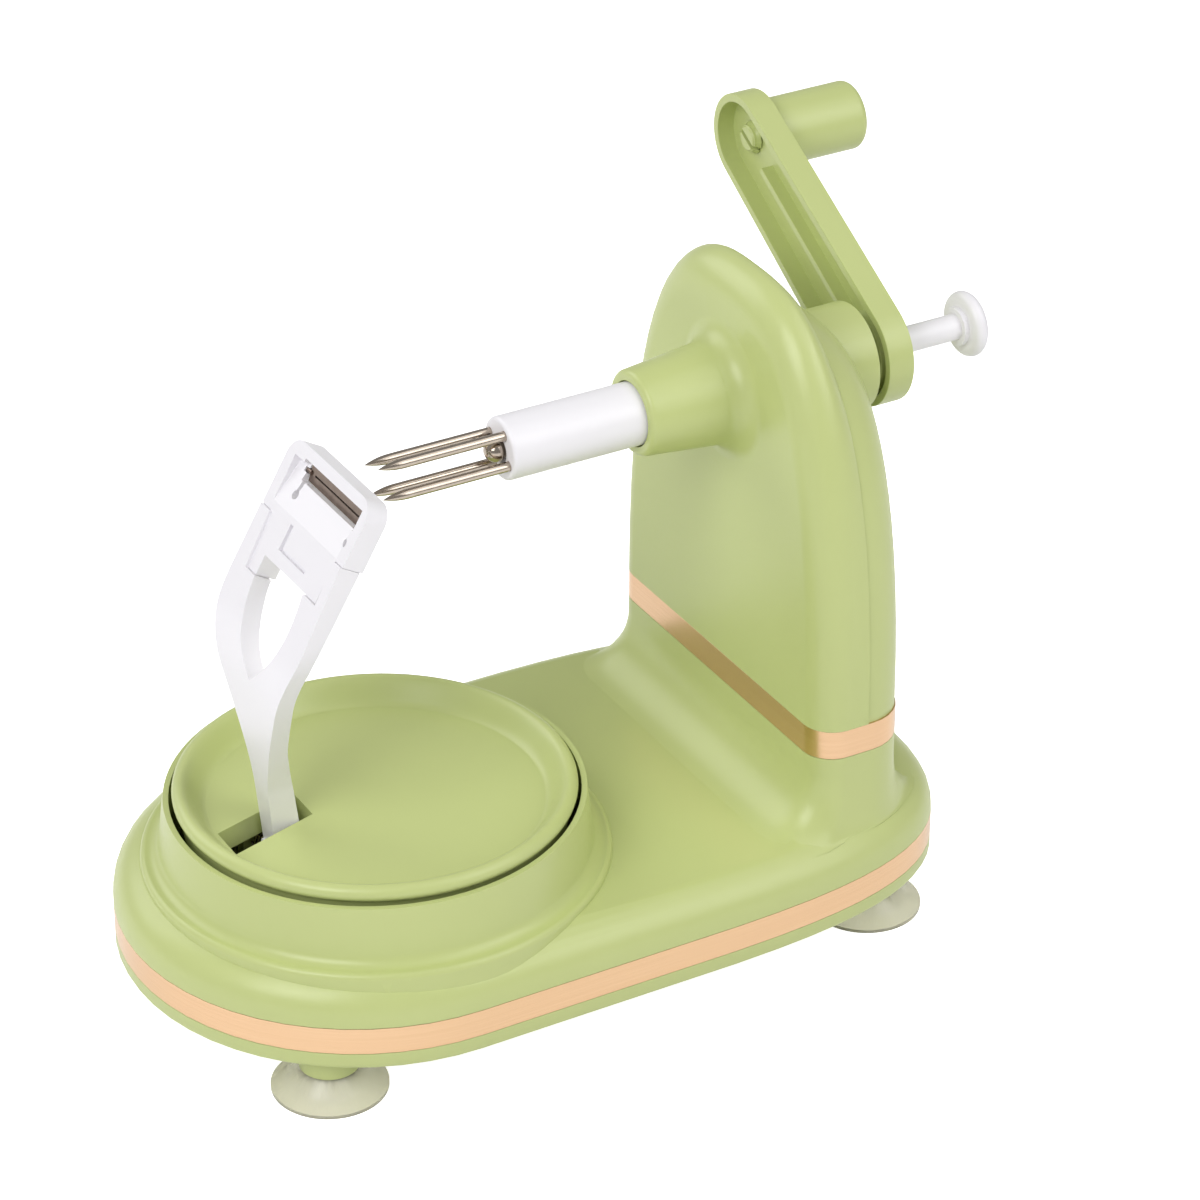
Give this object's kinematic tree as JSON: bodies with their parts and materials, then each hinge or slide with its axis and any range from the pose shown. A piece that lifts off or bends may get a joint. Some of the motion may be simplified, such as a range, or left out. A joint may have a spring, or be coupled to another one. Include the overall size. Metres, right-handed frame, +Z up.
{
  "type": "hand cranked apple peeler",
  "caption": "Suction-footed hand cranked apple peeler: a crank turns the fork while a geared turntable carries a sprung peeling arm round the fruit.",
  "frame": {"origin": "on the table plane under the turntable axis", "axes": "+X from the turntable towards the column and crank, +Y to the far side, +Z up"},
  "size_m": [0.2371, 0.1322, 0.1844],
  "materials": {
    "green_plastic": "satin",
    "copper_band": "satin",
    "white_plastic": "satin",
    "steel": "polished",
    "brass": "satin",
    "nylon": "satin",
    "clear_rubber": "satin"
  },
  "bodies": {
    "frame": {"base_shell": "green_plastic", "bottom_cover": "green_plastic", "base_band": "copper_band", "column_front": "green_plastic", "column_rear": "green_plastic", "column_band": "copper_band", "front_bush": "nylon", "rear_bush": "nylon", "upright_bush_lower": "brass", "upright_bush_upper": "brass", "turntable_bush": "nylon", "idler_axle": "steel", "suction_cup_1": "clear_rubber", "suction_cup_2": "clear_rubber", "suction_cup_3": "clear_rubber", "suction_cup_4": "clear_rubber", "base_screws": "steel", "column_screws": "steel"},
    "crank": {"drive_shaft": "nylon", "worm": "nylon", "fork_holder": "white_plastic", "prong_1": "steel", "prong_2": "steel", "prong_3": "steel", "prong_4": "steel", "crank_arm": "green_plastic"},
    "grip": {"crank_grip": "green_plastic"},
    "ejector": {"push_rod": "white_plastic", "push_knob": "white_plastic", "ejector_tip": "steel", "ejector_spring": "steel"},
    "upright": {"upright_shaft": "steel", "worm_wheel": "nylon", "pinion": "nylon"},
    "idler": {"idler_gear": "nylon"},
    "table": {"turntable": "green_plastic", "turntable_gear": "nylon", "turntable_spindle": "steel", "spindle_clip": "steel", "arm_pivot_pin": "steel"},
    "arm": {"peeler_arm": "white_plastic", "blade_head": "white_plastic", "arm_spring": "steel"},
    "blade": {"blade": "steel"}
  },
  "joints": [
    {"name": "crank_turn", "type": "hinge", "parent": "frame", "child": "crank", "pos_m": [0.111, 0, 0.1384], "axis": [1, 0, 0], "range_deg": [-1600, 1600]},
    {"name": "grip_spin", "type": "hinge", "parent": "crank", "child": "grip", "pos_m": [0.158, 0.05962, 0.17213], "axis": [1, 0, 0], "continuous": true},
    {"name": "push", "type": "slide", "parent": "crank", "child": "ejector", "axis": [-1, 0, 0], "range_m": [0, 0.0175], "stiffness_N_per_m": 150, "springref_m": -0.01, "deforming": ["ejector_spring"]},
    {"name": "upright_turn", "type": "hinge", "parent": "frame", "child": "upright", "pos_m": [0.11175, 0.0165, 0.08], "axis": [0, 0, 1], "range_deg": [-161, 161]},
    {"name": "idler_turn", "type": "hinge", "parent": "frame", "child": "idler", "pos_m": [0.07268, 0.00328, 0.02], "axis": [0, 0, 1], "range_deg": [-55.63, 55.63]},
    {"name": "table_turn", "type": "hinge", "parent": "frame", "child": "table", "pos_m": [0, 0, 0.05], "axis": [0, 0, 1], "range_deg": [-41, 41]},
    {"name": "arm_swing", "type": "hinge", "parent": "table", "child": "arm", "pos_m": [-0.0235, 0.00398, 0.04], "axis": [0.2756, -0.9613, 0], "range_deg": [0, 30], "stiffness_Nm_per_rad": 0.25, "springref_deg": -34.38, "deforming": ["arm_spring"]},
    {"name": "blade_swivel", "type": "hinge", "parent": "arm", "child": "blade", "pos_m": [-0.0073, 0.0006, 0.13662], "axis": [0, 1, 0], "range_deg": [-15, 15]}
  ],
  "couplings": [
    {"joint": "upright_turn", "follows": "crank_turn", "ratio": -0.1},
    {"joint": "idler_turn", "follows": "crank_turn", "ratio": 0.034146},
    {"joint": "table_turn", "follows": "crank_turn", "ratio": -0.025}
  ]
}
